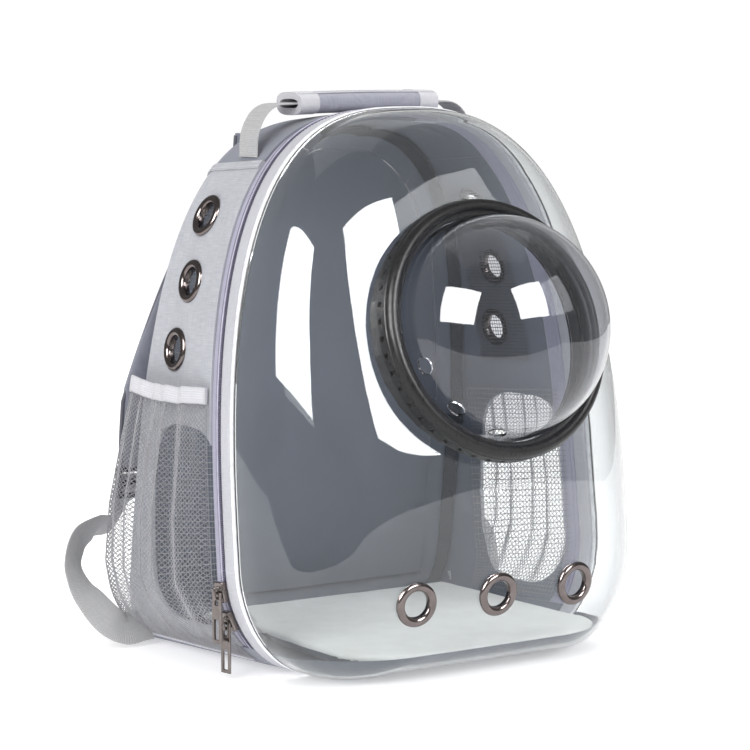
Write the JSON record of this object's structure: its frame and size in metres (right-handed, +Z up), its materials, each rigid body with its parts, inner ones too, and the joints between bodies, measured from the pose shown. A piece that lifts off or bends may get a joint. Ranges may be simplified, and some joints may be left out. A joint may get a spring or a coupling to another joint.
{
  "type": "bubble pet carrier backpack",
  "caption": "Soft pet carrier backpack with a clear moulded front shell, a clear dome window, metal eyelets, net side pockets, a top handle and shoulder straps.",
  "frame": {"origin": "middle of the whole pack's footprint box, on the surface it stands on", "axes": "+Z up; the clear shell faces -Y, the shoulder straps are on +Y, +X to the right across the pack, seen from the front"},
  "size_m": [0.4066, 0.4126, 0.4222],
  "materials": {
    "slate_cloth": "woven polyester lined cloth, matt",
    "side_cloth": "heather grey woven polyester, matt",
    "window_mesh": "open knitted polyester mesh",
    "pocket_mesh": "coarse diamond net, grey",
    "elastic_white": "ribbed elastic binding, off-white",
    "webbing": "woven polypropylene webbing, off-white",
    "zip_tape": "woven zip tape, lavender grey",
    "zip_coil": "nylon coil, satin",
    "eyelet_metal": "gunmetal plating, polished",
    "zip_metal": "gunmetal plating, polished",
    "mat_cloth": "short pile cloth over foam, white",
    "black_plastic": "moulded ABS, fine texture",
    "bezel_plastic": "moulded ABS, polished face",
    "clear_shell": "clear moulded PVC, polished",
    "clear_dome": "clear moulded acrylic, polished",
    "clear_trim": "frosted clear PVC edge, glossy"
  },
  "bodies": {
    "root": {"base_panel": "slate_cloth", "top_gusset": "slate_cloth", "back_panel": "slate_cloth", "handle_grip": "slate_cloth", "shoulder_strap_left": "slate_cloth", "shoulder_strap_right": "slate_cloth", "side_panel_left": "side_cloth", "window_net_left": "window_mesh", "eyelet_net_left": "window_mesh", "side_eyelet_left_1": "eyelet_metal", "side_eyelet_left_2": "eyelet_metal", "side_eyelet_left_3": "eyelet_metal", "side_pocket_left": "pocket_mesh", "pocket_binding_left": "elastic_white", "strap_webbing_left": "webbing", "ladder_lock_left": "black_plastic", "side_panel_right": "side_cloth", "window_net_right": "window_mesh", "eyelet_net_right": "window_mesh", "side_eyelet_right_1": "eyelet_metal", "side_eyelet_right_2": "eyelet_metal", "side_eyelet_right_3": "eyelet_metal", "side_pocket_right": "pocket_mesh", "pocket_binding_right": "elastic_white", "strap_webbing_right": "webbing", "ladder_lock_right": "black_plastic", "edge_trim": "clear_trim", "front_binding": "elastic_white", "zipper_tape_front": "zip_tape", "zipper_tape_rear": "zip_tape", "zipper_coil": "zip_coil", "clear_shell": "clear_shell", "front_eyelet_left": "eyelet_metal", "front_eyelet_centre": "eyelet_metal", "front_eyelet_right": "eyelet_metal", "bubble_collar": "black_plastic", "floor_mat": "mat_cloth", "handle_webbing": "webbing", "zip_slider_1": "zip_metal", "zip_slider_2": "zip_metal"},
    "bubble": {"bubble_dome": "clear_dome", "bubble_bezel": "bezel_plastic"},
    "pull_1": {"zip_pull_1": "zip_metal"},
    "pull_2": {"zip_pull_2": "zip_metal"}
  },
  "joints": [
    {"name": "bubble_turn", "type": "hinge", "parent": "root", "child": "bubble", "pos_m": [0, -0.12611, 0.25418], "axis": [0, -0.9536, 0.301], "range_deg": [0, 30]},
    {"name": "pull_1_swing", "type": "hinge", "parent": "root", "child": "pull_1", "pos_m": [-0.17039, -0.01725, 0.06317], "axis": [-0.0998, 0.995, 0], "range_deg": [0, 90]},
    {"name": "pull_2_swing", "type": "hinge", "parent": "root", "child": "pull_2", "pos_m": [-0.16441, -0.01927, 0.04082], "axis": [-0.0998, 0.995, 0], "range_deg": [0, 16]}
  ]
}
